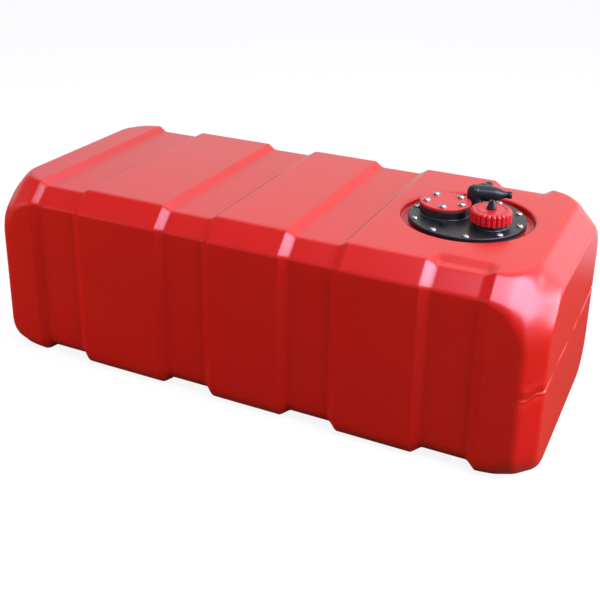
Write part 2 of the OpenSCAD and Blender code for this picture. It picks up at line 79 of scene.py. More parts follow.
def chamfer_inset(u, run, rise, radius):
    """How far a chamfered end pulls in at u from the end: the flat chamfer rise (1 - u / run), joined by
    an arc of the radius to the face behind it and by another to the end face."""
    slope = math.atan2(rise, run)
    near = radius * math.tan(slope / 2)
    far = radius * math.tan((math.pi / 2 - slope) / 2)
    behind = radius - np.sqrt(np.maximum(radius**2 - (run + near - u) ** 2, 0))
    flat = rise * (1 - u / run)
    front = rise + far - np.sqrt(np.maximum(radius**2 - (radius - u) ** 2, 0))
    inset = np.where(u >= far * math.cos(slope), flat, front)
    inset = np.where(u >= run - near * math.cos(slope), behind, inset)
    return np.where(u >= run + near, 0, inset)


def wall_rise(s):
    """Height 0 to 1 up a band's wall, with s from foot to top: a straight slope k (s - f / 2) between the
    parabolas k s^2 / (2 f) at the foot and 1 - k (1 - s)^2 / (2 c) at the crest, with the slope
    k = 1 / (1 - (f + c) / 2)."""
    f, c = 0.15, 0.35
    k = 1 / (1 - (f + c) / 2)
    s = np.clip(s, 0, 1)
    foot = k * s**2 / (2 * f)
    crest = 1 - k * (1 - s) ** 2 / (2 * c)
    return np.where(s < f, foot, np.where(s > 1 - c, crest, k * (s - f / 2)))


def band_fall(x, centre):
    """Depth 0 to 1 of a band at x: full on its floor, 0 outside it, wall_rise on each side."""
    return wall_rise((band_width / 2 - np.abs(x - centre)) / band_slope)


def conic(start, corner, end, weight, count):
    """Arc from start to end that heads for corner: the rational quadratic
    ((1-t)^2 start + 2 w t (1-t) corner + t^2 end) / ((1-t)^2 + 2 w t (1-t) + t^2)."""
    t = np.linspace(0, 1, count + 1)[None, :, None]
    a, b, c = (1 - t) ** 2, 2 * weight * t * (1 - t), t**2
    return (a * start[:, None] + b * corner[:, None] + c * end[:, None]) / (a + b + c)


def between(start, end, shares):
    """Points on the straight line from start to end: (1 - s) start + s end for each share s."""
    s = np.asarray(shares)[None, :, None]
    return (1 - s) * start[:, None] + s * end[:, None]


def tank_rings(x, skin, marked):
    """Sections across the tank at each x, pulled in by skin, as an array [section, point, xyz].
    Half a section is a floor, a keel arc, an upright side, a chamfer between two arcs, the ledge's
    slope and the top; towards the ends its arcs grow with the rounding of the end, averaged over
    face_blend to each side, and its chamfer is cut back by corner_cut (1 - u / span)^corner_power.
    The other half is its mirror image. Only a wall that is marked by the mould has points along the
    straight floor and side."""
    u = np.maximum(tank_length / 2 - skin - np.abs(x), 0)
    over = band_depth * np.max([band_fall(x, centre) for centre in band_x], axis=0)
    inset = np.maximum(over, band_depth * band_fall(x, side_band_x)) + skin
    near_by = np.maximum(u - face_end + np.linspace(-face_blend, face_blend, 9)[:, None], 0)
    share = np.mean(round_inset(near_by, face_r), axis=0) / face_r
    side_in = chamfer_inset(u, corner_run, corner_in, end_edge_r)
    top_in = chamfer_inset(u, brow_run, brow_drop, end_edge_r)
    side = tank_width / 2 - inset - side_in
    top = tank_height - inset - top_in
    crest = tank_height - skin - over - top_in
    keel = inset + round_inset(u, foot_r)
    arc = chamfer_edge_r * math.tan(math.radians(22.5))
    trim = inset * (2 - math.sqrt(2))
    reach_y = chamfer_y - trim + arc + face_r * share - side_in
    reach_z = chamfer_z - trim + arc + face_r * share - top_in
    cut = corner_cut * np.clip(1 - u / (face_end + face_r), 0, 1) ** corner_power - side_in - top_in
    least = (2 - math.sqrt(2)) * (reach_y + reach_z) / 2
    leg_y = np.clip(chamfer_y - trim + cut, least, reach_y - least_arc)
    leg_z = np.clip(chamfer_z - trim + cut, least, reach_z - least_arc)
    radius = keel_r + (heel_r - keel_r) * share
    flank = np.stack([side, top - leg_z], -1)
    crown = np.stack([side - leg_y, top], -1)
    along = (crown - flank) / np.linalg.norm(crown - flank, axis=-1, keepdims=True)
    flank_out = flank + along * (reach_z - leg_z)[:, None]
    crown_in = crown - along * (reach_y - leg_y)[:, None]
    middle = np.stack([0 * side, keel], -1)
    keel_in = np.stack([side - radius, keel], -1)
    side_low = np.stack([side, keel + radius], -1)
    side_high = np.stack([side, top - reach_z], -1)
    line_z = parting_z + np.concatenate([-line_rows[::-1], line_rows])
    line_share = (line_z[None] - side_low[:, 1:]) / (side_high - side_low)[:, 1:]
    low = line_share[:, :1] * np.linspace(0, 1, 6)[None, 1:-1]
    high = 1 - (1 - line_share[:, -1:]) * np.linspace(1, 0, 6)[None, 1:-1]
    shares = np.concatenate([low, line_share, high], axis=1)[:, :, None]
    upright = (1 - shares) * side_low[:, None] + shares * side_high[:, None]
    ledge = side - reach_y - ledge_flat
    ledge_s = np.linspace(0, 1, 11)
    ledge_y = ledge[:, None] - band_slope * ledge_s[None]
    ledge_z = top[:, None] + (crest - top)[:, None] * wall_rise(ledge_s)[None]
    top_edge = np.minimum(patch_y, ledge - band_slope - crest_room)
    top_y = top_edge[:, None] * np.linspace(1, 0, top_columns + 1)[None]
    half = np.concatenate(
        [
            between(middle, keel_in, np.linspace(0, 1, 9)[:-1] if marked else [0.0]),
            conic(keel_in, np.stack([side, keel], -1), side_low, quarter_weight, 8),
            upright if marked else upright[:, :0],
            conic(side_high, flank, flank_out, eighth_weight, 6),
            between(flank_out, crown_in, [0.25, 0.5, 0.75]),
            conic(crown_in, crown, np.stack([side - reach_y, top], -1), eighth_weight, 6),
            np.stack([ledge_y, ledge_z], -1),
            np.stack([top_y, np.broadcast_to(crest[:, None], top_y.shape)], -1),
        ],
        axis=1,
    )
    ring = np.concatenate([half, half[:, -2:0:-1] * (-1, 1)], axis=1)
    return np.concatenate([np.broadcast_to(x[:, None, None], ring.shape[:2] + (1,)), ring], axis=2)


def with_ends(rings):
    """The rings with both end faces filled: the end ring drawn in to a point at the parting line by
    fan_shares, so that each face is a fan of flat quads."""
    shares = fan_shares[:, None, None]
    hearts = [np.array([rings[row, 0, 0], 0, parting_z]) for row in (0, -1)]
    left = hearts[0] + shares * (rings[:1] - hearts[0])
    right = hearts[1] + shares[::-1] * (rings[-1:] - hearts[1])
    return np.concatenate([left, rings, right])


def outward(grid):
    """Unit normals of a grid whose columns close: the cross product of its steps along and across, turned
    to point away from the tank's middle, with the way along the tank counted less."""
    along = np.gradient(grid, axis=0)
    across = np.roll(grid, -1, axis=1) - np.roll(grid, 1, axis=1)
    normal = np.cross(across, along)
    normal /= np.maximum(np.linalg.norm(normal, axis=2, keepdims=True), 1e-9)
    lengthwise_share = 0.3
    away = (grid - np.array([0, 0, tank_height / 2])) * (lengthwise_share, 1, 1)
    return normal * np.sign(np.sum(normal * away, axis=2, keepdims=True))


lip_h, lip_w = 0.6, 1.6
scar_depth, scar_w, scar_up = 1.3, 2.2, 3.6
line_sways = ((1.2, 17.0, 0.0), (0.8, 7.3, 1.0))
side_share, end_from, end_over = 0.03, 392.0, 6.0
pinch_at, pinch_heading, pinch_half = (388.0, -166.0), (0.664, 0.748), 18.0
pinch_from, pinch_over, pinch_least = 366.0, 8.0, 0.02
crease_h, crease_w, crease_drop, crease_tilt = 1.5, 1.4, 4.0, 0.22
crease_sway, crease_wave = 1.6, 4.0
hollow_depth, hollow_w = 1.8, 6.5
swell_h, swell_w, swell_up = 1.2, 5.0, 13.0


def hump(offset, width):
    """A smooth hump of height 1: exp(-(offset / width)^2)."""
    return np.exp(-((offset / width) ** 2))


def mould_marks(grid):
    """Height of the mould's marks. At the parting height a lip, the hump of lip_h and lip_w, lies under a
    shallow scar, low along the sides and full on the ends, where the line sways as a sum of sines. At the
    right front corner the mould left a pinch: a hollow with a swelling above it, crossed by a crooked
    crease."""
    x, y, z = np.moveaxis(grid, 2, 0)
    sway = sum(height * np.sin(y / wave + start) for height, wave, start in line_sways)
    on_end = np.clip((np.abs(x) - end_from) / end_over, 0, 1)
    dz = z - parting_z - sway * on_end
    line = lip_h * hump(dz, lip_w) - scar_depth * hump(dz - scar_up, scar_w)
    ridge = (side_share + (1 - side_share) * on_end) * line
    across = (x - pinch_at[0]) * pinch_heading[0] + (y - pinch_at[1]) * pinch_heading[1]
    near = np.exp(-((across / pinch_half) ** 6)) * np.clip((x - pinch_from) / pinch_over, 0, 1)
    crease_z = parting_z - crease_drop + crease_tilt * across + crease_sway * np.sin(across / crease_wave)
    above = z - crease_z
    hollow = swell_h * hump(above - swell_up, swell_w) - hollow_depth * hump(above, hollow_w)
    crease = crease_h * hump(above, crease_w)
    return np.where(near > pinch_least, near * (hollow + crease) + (1 - near) * ridge, ridge)


# The well takes the place of a patch in the top of both walls, whose edge outside is loop. Sections stand
# close together at the ends, on the walls of the bands and along the patch, and further apart elsewhere.
well_x, well_r, lip_r = 250.0, 87.0, 3.5
gutter_z, seat_z, seat_r, hole_r = 254.5, 257.0, 76.0, 60.0
gutter_r, seat_edge_r, hole_edge_r = 2.5, 0.5, 0.8
patch_left, patch_right, patch_y = 150.0, 352.0, 104.0
patch_shares = np.array([0.3, 0.6, 0.85])
plain_from, plain_step, patch_step, patch_clear, least_step = -310.0, 17.0, 3.7, 0.6, 0.04
end_x = tank_length / 2 - (face_end + face_r) * (1 - np.cos(np.linspace(0, math.pi / 2, 36)))
wall_run = band_width / 2 - band_slope * np.linspace(-0.05, 1.05, 13)
wall_x = [centre + side * wall_run for centre in (*band_x, side_band_x) for side in (-1, 1)]
plain_x = np.arange(plain_from, patch_left, plain_step)
patch_x = np.arange(patch_left, patch_right, patch_step)
tank_x = np.concatenate([end_x, -end_x, *wall_x, plain_x, patch_x])
for patch_end in (patch_left, patch_right):
    tank_x = tank_x[np.abs(tank_x - patch_end) > patch_clear]
tank_x = np.sort(np.concatenate([tank_x, [patch_left, patch_right]]))
tank_x = tank_x[np.concatenate([[True], np.diff(tank_x) > least_step])]
outer = with_ends(tank_rings(tank_x, 0.0, True))
outer = outer + outward(outer) * mould_marks(outer)[:, :, None]
shrink = (tank_length / 2 - tank_wall) / (tank_length / 2)
inner = with_ends(tank_rings(tank_x * shrink, tank_wall, False))
first_row, last_row = (
    len(fan_shares) + int(np.argmin(np.abs(tank_x - patch_end))) for patch_end in (patch_left, patch_right)
)


def patch_edge(wall):
    """Numbers of the points round the patch in a wall's grid, in order: two runs of columns, two of rows."""
    columns = wall.shape[1]
    first_column, last_column = columns // 2 - top_columns, columns // 2 + top_columns
    row_run, column_run = np.arange(first_row, last_row), np.arange(first_column, last_column)
    return np.concatenate(
        [
            first_row * columns + column_run,
            row_run * columns + last_column,
            last_row * columns + column_run[::-1] + 1,
            (row_run[::-1] + 1) * columns + first_column,
        ]
    )


def arc_profile(centre, radius, start, end, count):
    """Points (r, z) on an arc: centre + radius (cos a, sin a), with a from start to end in degrees."""
    a = np.radians(np.linspace(start, end, count + 1))
    return np.stack([centre[0] + radius * np.cos(a), centre[1] + radius * np.sin(a)], -1)


well_back = well_r + tank_wall
well_profile = np.concatenate(
    [
        arc_profile((well_r + lip_r, tank_height - lip_r), lip_r, 90, 180, 10),
        arc_profile((well_r - gutter_r, gutter_z + gutter_r), gutter_r, 0, -90, 5),
        arc_profile((seat_r + seat_edge_r, gutter_z + seat_edge_r), seat_edge_r, 270, 180, 5),
        arc_profile((seat_r - seat_edge_r, seat_z - seat_edge_r), seat_edge_r, 0, 90, 4),
        arc_profile((hole_r + hole_edge_r, seat_z - hole_edge_r), hole_edge_r, 90, 180, 3),
        [[hole_r, gutter_z - tank_wall], [well_back, gutter_z - tank_wall]],
        [[well_back, tank_height - tank_wall]],
    ]
)
loop = patch_edge(outer)
rim = outer.reshape(-1, 3)[loop]
turn = np.arctan2(rim[:, 1], rim[:, 0] - well_x)
spoke = np.stack([np.cos(turn), np.sin(turn)], -1)
well = np.concatenate(
    [
        well_profile[:, None, :1] * spoke[None] + (well_x, 0),
        np.broadcast_to(well_profile[:, None, 1:], (len(well_profile), len(loop), 1)),
    ],
    axis=2,
)
well = np.concatenate([rim + patch_shares[:, None, None] * (well[0] - rim), well])


def new_piece(name, points, faces):
    """A mesh object from points in millimetres and quads: doubles merged, which closes seams and poles,
    faces turned outwards, smooth except across edges sharper than 35 degrees."""
    mesh = bpy.data.meshes.new(name)
    mesh.from_pydata((np.asarray(points) * mm).tolist(), [], np.asarray(faces).tolist())
    shape = bmesh.new()
    shape.from_mesh(mesh)
    bmesh.ops.remove_doubles(shape, verts=shape.verts, dist=1e-6)
    bmesh.ops.dissolve_degenerate(shape, edges=shape.edges, dist=1e-7)
    bmesh.ops.recalc_face_normals(shape, faces=shape.faces)
    shape.to_mesh(mesh)
    shape.free()
    mesh.shade_smooth()
    mesh.set_sharp_from_angle(angle=math.radians(35))
    piece = bpy.data.objects.new(name, mesh)
    bpy.context.scene.collection.objects.link(piece)
    return piece


def wrapped_quads(row_index):
    """Quads between each row of point numbers and the next, the last column joined to the first."""
    ahead = np.roll(row_index, -1, axis=1)
    return np.stack([row_index[:-1], ahead[:-1], ahead[1:], row_index[1:]], -1).reshape(-1, 4)


def wall_quads(wall):
    """Quads of a wall's grid, without those of the patch: from first_row to last_row, and top_columns to
    each side of the middle of the top."""
    rows, columns = wall.shape[:2]
    cells = wrapped_quads(np.arange(rows * columns).reshape(rows, columns))
    cell_row, cell_column = np.divmod(np.arange(len(cells)), columns)
    in_patch = (cell_row >= first_row) & (cell_row < last_row)
    in_patch &= (cell_column >= columns // 2 - top_columns) & (cell_column < columns // 2 + top_columns)
    return cells[~in_patch]


inner_from = outer.size // 3
well_from = inner_from + inner.size // 3
well_rows = well_from + np.arange(len(well) * len(loop)).reshape(len(well), len(loop))
well_rows = np.concatenate([loop[None], well_rows, inner_from + patch_edge(inner)[None]])
tank_points = np.concatenate([outer.reshape(-1, 3), inner.reshape(-1, 3), well.reshape(-1, 3)])
tank_faces = np.concatenate([wall_quads(outer), inner_from + wall_quads(inner), wrapped_quads(well_rows)])
tank = new_piece("tank_moulding", tank_points, tank_faces)


def colour(hex_value):
    """An sRGB hex colour as linear RGBA: ((c + 0.055) / 1.055)^2.4, or c / 12.92 for dark values."""
    srgb = np.array([int(hex_value[i : i + 2], 16) for i in (1, 3, 5)]) / 255
    linear = np.where(srgb <= 0.04045, srgb / 12.92, ((srgb + 0.055) / 1.055) ** 2.4)
    return (*linear.tolist(), 1.0)


def per_mm(size):
    """Texture scale on Object coordinates, in metres, for a pattern of this size in millimetres."""
    return 1000.0 / size


def add_node(tree, kind, sockets=None, **settings):
    """One node: settings are its own properties, sockets its inputs, each a constant or another's output."""
    node = tree.nodes.new(kind)
    for key, value in settings.items():
        setattr(node, key, value)
    for key, value in (sockets or {}).items():
        if isinstance(value, bpy.types.NodeSocket):
            tree.links.new(value, node.inputs[key])
        else:
            node.inputs[key].default_value = value
    return node


def new_finish(name):
    """An empty material and its node tree."""
    finish = bpy.data.materials.new(name)
    finish.use_nodes = True
    finish.node_tree.nodes.clear()
    return finish, finish.node_tree


# Moulded polyethylene: satin, coloured right through, with faint clouding of the pigment, a slow waviness
# from uneven cooling and a fine grain from the mould, drawn at 2.2 mm where the real grain is under 1 mm.
polyethylene, nodes = new_finish("moulded_red_polyethylene")
place = add_node(nodes, "ShaderNodeTexCoord").outputs["Object"]
cloud = add_node(nodes, "ShaderNodeTexNoise", {"Vector": place, "Scale": per_mm(60), "Detail": 3.0})
red = add_node(
    nodes,
    "ShaderNodeMix",
    {"Factor": cloud.outputs["Fac"], 6: colour("#aa0c05"), 7: colour("#b40f07")},
    data_type="RGBA",
)
grain = add_node(nodes, "ShaderNodeTexNoise", {"Vector": place, "Scale": per_mm(2.2), "Detail": 2.0})
wave = add_node(nodes, "ShaderNodeTexNoise", {"Vector": place, "Scale": per_mm(110), "Detail": 1.0})
sheen = add_node(
    nodes, "ShaderNodeMapRange", {"Value": cloud.outputs["Fac"], "To Min": 0.278, "To Max": 0.314}
)
slow = add_node(
    nodes, "ShaderNodeBump", {"Height": wave.outputs["Fac"], "Strength": 0.1, "Distance": 1.2 * mm}
)
fine = add_node(
    nodes,
    "ShaderNodeBump",
    {
        "Height": grain.outputs["Fac"],
        "Strength": 0.12,
        "Distance": 0.06 * mm,
        "Normal": slow.outputs["Normal"],
    },
)
shader = add_node(
    nodes,
    "ShaderNodeBsdfPrincipled",
    {
        "Base Color": red.outputs[2],
        "Roughness": sheen.outputs["Result"],
        "IOR": 1.52,
        "Normal": fine.outputs["Normal"],
    },
)
add_node(nodes, "ShaderNodeOutputMaterial", {"Surface": shader.outputs["BSDF"]})
tank.data.materials.append(polyethylene)
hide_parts("tank_shell")
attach(tank, "tank")

# Brass inserts are moulded into the seat of the well and pressed into the sender collar.
# They take the screws of the plate and of the disc, and only their turned bores would ever show.
brass, nodes = new_finish("turned_brass")
place = add_node(nodes, "ShaderNodeTexCoord").outputs["Object"]
turning = add_node(
    nodes,
    "ShaderNodeTexWave",
    {"Vector": place, "Scale": per_mm(6), "Distortion": 0.3},
    bands_direction="Z",
)
shine = add_node(
    nodes, "ShaderNodeMapRange", {"Value": turning.outputs["Fac"], "To Min": 0.22, "To Max": 0.34}
)
shader = add_node(
    nodes,
    "ShaderNodeBsdfPrincipled",
    {"Base Color": colour("#c9a24a"), "Metallic": 1.0, "Roughness": shine.outputs["Result"]},
)
add_node(nodes, "ShaderNodeOutputMaterial", {"Surface": shader.outputs["BSDF"]})


def dress(names, finish):
    """Gives the solids of these nodes a finish in place of their plain one."""
    for name in names:
        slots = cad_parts[name].data.materials
        slots.clear()
        slots.append(finish)


dress(("plate_inserts", "sender_inserts"), brass)

# Gaskets and seals are cut or moulded from black nitrile rubber and clamped between the hard pieces,
# so that only their edges show as a matt line.
rubber, nodes = new_finish("nitrile_rubber")
place = add_node(nodes, "ShaderNodeTexCoord").outputs["Object"]
bloom = add_node(nodes, "ShaderNodeTexNoise", {"Vector": place, "Scale": per_mm(9), "Detail": 3.0})
black = add_node(
    nodes,
    "ShaderNodeMix",
    {"Factor": bloom.outputs["Fac"], 6: colour("#151515"), 7: colour("#232322")},
    data_type="RGBA",
)
skin_bump = add_node(
    nodes, "ShaderNodeBump", {"Height": bloom.outputs["Fac"], "Strength": 0.4, "Distance": 0.1 * mm}
)
shader = add_node(
    nodes,
    "ShaderNodeBsdfPrincipled",
    {"Base Color": black.outputs[2], "Roughness": 0.75, "IOR": 1.52, "Normal": skin_bump.outputs["Normal"]},
)
add_node(nodes, "ShaderNodeOutputMaterial", {"Surface": shader.outputs["BSDF"]})
dress(("plate_gasket", "sender_gasket", "cap_seal", "vent_seal", "elbow_seal", "plug_seal"), rubber)

# The service plate is moulded in black nylon, with the filler neck and the sender collar in one piece
# with it and a locating rim below. It closes the well, held by ten screws round its edge.
plate_r, plate_z, plate_top, plate_edge_r = 76.5, 259.0, 264.0, 1.5
plate_rings = (74.0, 60.0, 30.0, 0.0)
rim_r, rim_t, rim_depth = 59.0, 3.0, 6.0
port_at, port_r, collar_top = (219.0, 2.5), 33.5, 274.0
filler_at, neck_r, neck_bore_r, neck_top = (285.0, -17.0), 22.5, 17.5, 281.5
root_depth, root_r, edge_r = 1.0, 2.0, 0.5


def turned(profile, at, count, axis=(0, 0, 1), across=(1, 0, 0)):
    """Surface of revolution: the profile's point (r, s) at angle a lies at
    at + s axis + r (cos a across + sin a (axis x across))."""
    profile = np.asarray(profile, float)
    a = np.linspace(0, 2 * math.pi, count, endpoint=False)
    spokes = np.cos(a)[:, None] * np.array(across) + np.sin(a)[:, None] * np.cross(axis, across)
    return np.array(at) + profile[:, None, 1:] * np.array(axis) + profile[:, None, :1] * spokes[None]


def from_sheets(name, sheets):
    """One piece from several sheets, each a grid of points [row, column, xyz] closed round its columns."""
    points = np.concatenate([sheet.reshape(-1, 3) for sheet in sheets])
    ends = np.cumsum([sheet.shape[0] * sheet.shape[1] for sheet in sheets])
    runs = np.split(np.arange(len(points)), ends[:-1])
    quads = [wrapped_quads(run.reshape(sheet.shape[:2])) for run, sheet in zip(runs, sheets)]
    return new_piece(name, points, np.concatenate(quads))


rim_in, rim_low = rim_r - rim_t, plate_z - rim_depth
plate_profile = np.concatenate(
    [
        [[0, plate_z], [rim_in, plate_z], [rim_in, rim_low], [rim_r, rim_low], [rim_r, plate_z]],
        [[plate_r - edge_r, plate_z], [plate_r, plate_z + edge_r]],
        arc_profile((plate_r - plate_edge_r, plate_top - plate_edge_r), plate_edge_r, 0, 90, 8),
        [[r, plate_top] for r in plate_rings],
    ]
)


def standing_tube(radius, top):
    """Outer profile of a round wall that stands on the plate: it starts root_depth below the plate's top,
    flares there in an arc of root_r and ends at its top in an arc of edge_r."""
    return np.concatenate(
        [
            [[0, plate_top - root_depth], [radius + root_r, plate_top - root_depth]],
            arc_profile((radius + root_r, plate_top + root_r), root_r, 270, 180, 5),
            arc_profile((radius - edge_r, top - edge_r), edge_r, 0, 90, 3),
        ]
    )


collar_profile = np.concatenate([standing_tube(port_r, collar_top), [[0, collar_top]]])
neck_profile = np.concatenate(
    [
        standing_tube(neck_r, neck_top),
        arc_profile((neck_bore_r + edge_r, neck_top - edge_r), edge_r, 90, 180, 3),
        [[neck_bore_r, plate_top + edge_r], [0, plate_top + edge_r]],
    ]
)
plate = from_sheets(
    "moulded_plate",
    [
        turned(plate_profile, (well_x, 0, 0), 160),
        turned(collar_profile, (*port_at, 0), 120),
        turned(neck_profile, (*filler_at, 0), 96),
    ],
)

# Glass-filled nylon: black and satin, with a fine eroded grain, drawn at 1.6 mm where the real one is half
# that, and faint paler drifts where the glass comes to the surface.
black_nylon, nodes = new_finish("glass_filled_black_nylon")
place = add_node(nodes, "ShaderNodeTexCoord").outputs["Object"]
drift = add_node(
    nodes,
    "ShaderNodeTexNoise",
    {"Vector": place, "Scale": per_mm(24), "Detail": 4.0, "Distortion": 1.2},
)
grain = add_node(nodes, "ShaderNodeTexNoise", {"Vector": place, "Scale": per_mm(1.6), "Detail": 2.0})
black = add_node(
    nodes,
    "ShaderNodeMix",
    {"Factor": drift.outputs["Fac"], 6: colour("#0d0e0f"), 7: colour("#16181a")},
    data_type="RGBA",
)
satin = add_node(
    nodes, "ShaderNodeMapRange", {"Value": drift.outputs["Fac"], "To Min": 0.28, "To Max": 0.38}
)
eroded = add_node(
    nodes, "ShaderNodeBump", {"Height": grain.outputs["Fac"], "Strength": 0.6, "Distance": 0.05 * mm}
)
shader = add_node(
    nodes,
    "ShaderNodeBsdfPrincipled",
    {
        "Base Color": black.outputs[2],
        "Roughness": satin.outputs["Result"],
        "IOR": 1.43,
        "Normal": eroded.outputs["Normal"],
    },
)
add_node(nodes, "ShaderNodeOutputMaterial", {"Surface": shader.outputs["BSDF"]})
plate.data.materials.append(black_nylon)
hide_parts("service_plate")
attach(plate, "tank")

# Fifteen button-head screws in stainless steel, cold-formed with a hexagon socket: ten clamp the plate to
# the tank and five clamp the red disc to its collar, each of these on a washer.
screw_r, screw_tip_in, screw_tip_h = 2.5, 0.6, 0.8
head_r, head_h, head_edge, head_under_in, head_under_h = 4.4, 3.0, 0.5, 0.2, 0.3
dome_rings = np.concatenate([np.linspace(head_r - 0.15, 2.5, 8), np.linspace(2.3, 1.3, 12), [0.7, 0.0]])
socket_r, socket_depth, socket_blend, socket_turn = 1.7, 2.0, 0.1, 2.4
plate_screw_pcr, plate_screw_turns = 70.0, -3.0 + 36.0 * np.arange(10)
port_screw_pcr, port_screw_turns = 24.8, np.array([-158.0, 137.0, 54.0, -15.0, -81.0])
disc_top, washer_t = 279.0, 1.0


def screw_sheet(at, foot, turn):
    """A screw as one sheet: foot and shank, the head's underside and edge, then its dome
    h (1 - (r / R)^2)^0.6 less a hexagon socket, deep where the largest of its three |p . n| is under
    socket_r."""
    dome = head_edge + (head_h - head_edge) * (1 - (dome_rings / head_r) ** 2) ** 0.6
    shank = [[0, foot], [screw_r - screw_tip_in, foot], [screw_r, foot + screw_tip_h], [screw_r, 0]]
    base = np.array(shank + [[head_r - head_under_in, 0], [head_r, head_under_h]], float)
    sheet = turned(np.concatenate([base, np.stack([dome_rings, dome], -1)]), (0, 0, 0), 64)
    x, y = sheet[len(base) :, :, 0], sheet[len(base) :, :, 1]
    flats = [np.abs(x * math.cos(a) + y * math.sin(a)) for a in np.radians([0, 60, 120])]
    inside = (socket_r + socket_blend - np.max(flats, axis=0)) / (2 * socket_blend)
    sheet[len(base) :, :, 2] -= socket_depth * np.clip(inside, 0, 1)
    c, s = math.cos(turn), math.sin(turn)
    return sheet @ np.array([[c, s, 0], [-s, c, 0], [0, 0, 1]]) + np.array(at)


def screw_set(name, centre, pcr, turns, seat, node, first_turn):
    """Screws on a circle, as one piece: heads at (cx + pcr cos a, cy + pcr sin a, seat), feet as low as the
    node's own, and sockets that turn on by socket_turn from one to the next."""
    a = np.radians(turns)
    places = np.stack([centre[0] + pcr * np.cos(a), centre[1] + pcr * np.sin(a), np.full(len(a), seat)], -1)
    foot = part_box(node)[0].z / mm - seat
    sheets = [screw_sheet(at, foot, socket_turn * i + first_turn) for i, at in enumerate(places)]
    return from_sheets(name, sheets)


plate_screws = screw_set(
    "plate_screw_set", (well_x, 0.0), plate_screw_pcr, plate_screw_turns, plate_top, "plate_screws", 0.0
)
port_screws = screw_set(
    "disc_screw_set", port_at, port_screw_pcr, port_screw_turns, disc_top + washer_t, "sender_screws", 1.0
)

# Stainless steel: bright, with fine tumbling marks, drawn at 1.2 mm where the real ones are finer.
stainless, nodes = new_finish("tumbled_stainless_steel")
place = add_node(nodes, "ShaderNodeTexCoord").outputs["Object"]
marks = add_node(nodes, "ShaderNodeTexNoise", {"Vector": place, "Scale": per_mm(1.2), "Detail": 3.0})
shine = add_node(
    nodes, "ShaderNodeMapRange", {"Value": marks.outputs["Fac"], "To Min": 0.14, "To Max": 0.3}
)
dents = add_node(
    nodes, "ShaderNodeBump", {"Height": marks.outputs["Fac"], "Strength": 0.3, "Distance": 0.03 * mm}
)
shader = add_node(
    nodes,
    "ShaderNodeBsdfPrincipled",
    {
        "Base Color": colour("#b9b7b1"),
        "Metallic": 1.0,
        "Roughness": shine.outputs["Result"],
        "Normal": dents.outputs["Normal"],
    },
)
add_node(nodes, "ShaderNodeOutputMaterial", {"Surface": shader.outputs["BSDF"]})
for piece, node in ((plate_screws, "plate_screws"), (port_screws, "sender_screws")):
    piece.data.materials.append(stainless)
    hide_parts(node)
    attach(piece, "tank")
dress(("sender_washers", "strainer_screen"), stainless)

# The red disc that blanks the sender port is moulded in polypropylene, with rounded edges.
# It lies on its gasket on the collar, under five screws with washers.
disc_z, disc_low_r, disc_edge_r = 275.5, 0.4, 1.1
disc_rings = (30.0, 15.0, 0.0)
disc_profile = np.concatenate(
    [
        [[0, disc_z]],
        arc_profile((port_r - disc_low_r, disc_z + disc_low_r), disc_low_r, 270, 360, 3),
        arc_profile((port_r - disc_edge_r, disc_top - disc_edge_r), disc_edge_r, 0, 90, 6),
        [[r, disc_top] for r in disc_rings],
    ]
)
disc = from_sheets("blanking_disc", [turned(disc_profile, (*port_at, 0), 128)])

# Moulded polypropylene: a clear red with a slight waviness and a fine grain, drawn at 1.4 mm where the real
# one is finer.
polypropylene, nodes = new_finish("moulded_red_polypropylene")
place = add_node(nodes, "ShaderNodeTexCoord").outputs["Object"]
cloud = add_node(nodes, "ShaderNodeTexNoise", {"Vector": place, "Scale": per_mm(18), "Detail": 3.0})
grain = add_node(nodes, "ShaderNodeTexNoise", {"Vector": place, "Scale": per_mm(1.4), "Detail": 2.0})
red = add_node(
    nodes,
    "ShaderNodeMix",
    {"Factor": cloud.outputs["Fac"], 6: colour("#a81013"), 7: colour("#b5181b")},
    data_type="RGBA",
)
gloss = add_node(
    nodes, "ShaderNodeMapRange", {"Value": cloud.outputs["Fac"], "To Min": 0.28, "To Max": 0.38}
)
fine = add_node(
    nodes, "ShaderNodeBump", {"Height": grain.outputs["Fac"], "Strength": 0.5, "Distance": 0.04 * mm}
)
shader = add_node(
    nodes,
    "ShaderNodeBsdfPrincipled",
    {
        "Base Color": red.outputs[2],
        "Roughness": gloss.outputs["Result"],
        "IOR": 1.49,
        "Normal": fine.outputs["Normal"],
    },
)
add_node(nodes, "ShaderNodeOutputMaterial", {"Surface": shader.outputs["BSDF"]})
disc.data.materials.append(polypropylene)
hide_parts("sender_disc")
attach(disc, "tank")

# The filler cap is moulded in the same red polypropylene, with twenty-four finger lobes round its skirt and
# a ring groove on top. It screws down over the neck on to a flat seal. Each of hem_points lies so far in
# from its side and so far up from its foot.
cap_r, cap_top, cap_under, skirt_z, skirt_r = 26.75, 286.5, 283.5, 270.5, 22.9
lobe_count, lobe_columns, lobe_depth, hem_share = 24, 14, 2.4, 0.6
cap_edge_r, cap_hem, cap_ring_r = 4.0, 0.7, 10.0
hem_points = ((cap_hem, 0.0), (0.2, 0.3), (0.0, 0.9), (0.0, 5.0), (0.0, 10.0))
groove_r, groove_w, groove_edge = 19.6, 1.1, 0.3
vent_hole_r = 2.7
groove_in, groove_low = groove_r - groove_w, cap_top - groove_w
cap_outside = np.concatenate(
    [
        [[cap_r - inward, skirt_z + up] for inward, up in hem_points],
        arc_profile((cap_r - cap_edge_r, cap_top - cap_edge_r), cap_edge_r, 0, 90, 8),
    ]
)
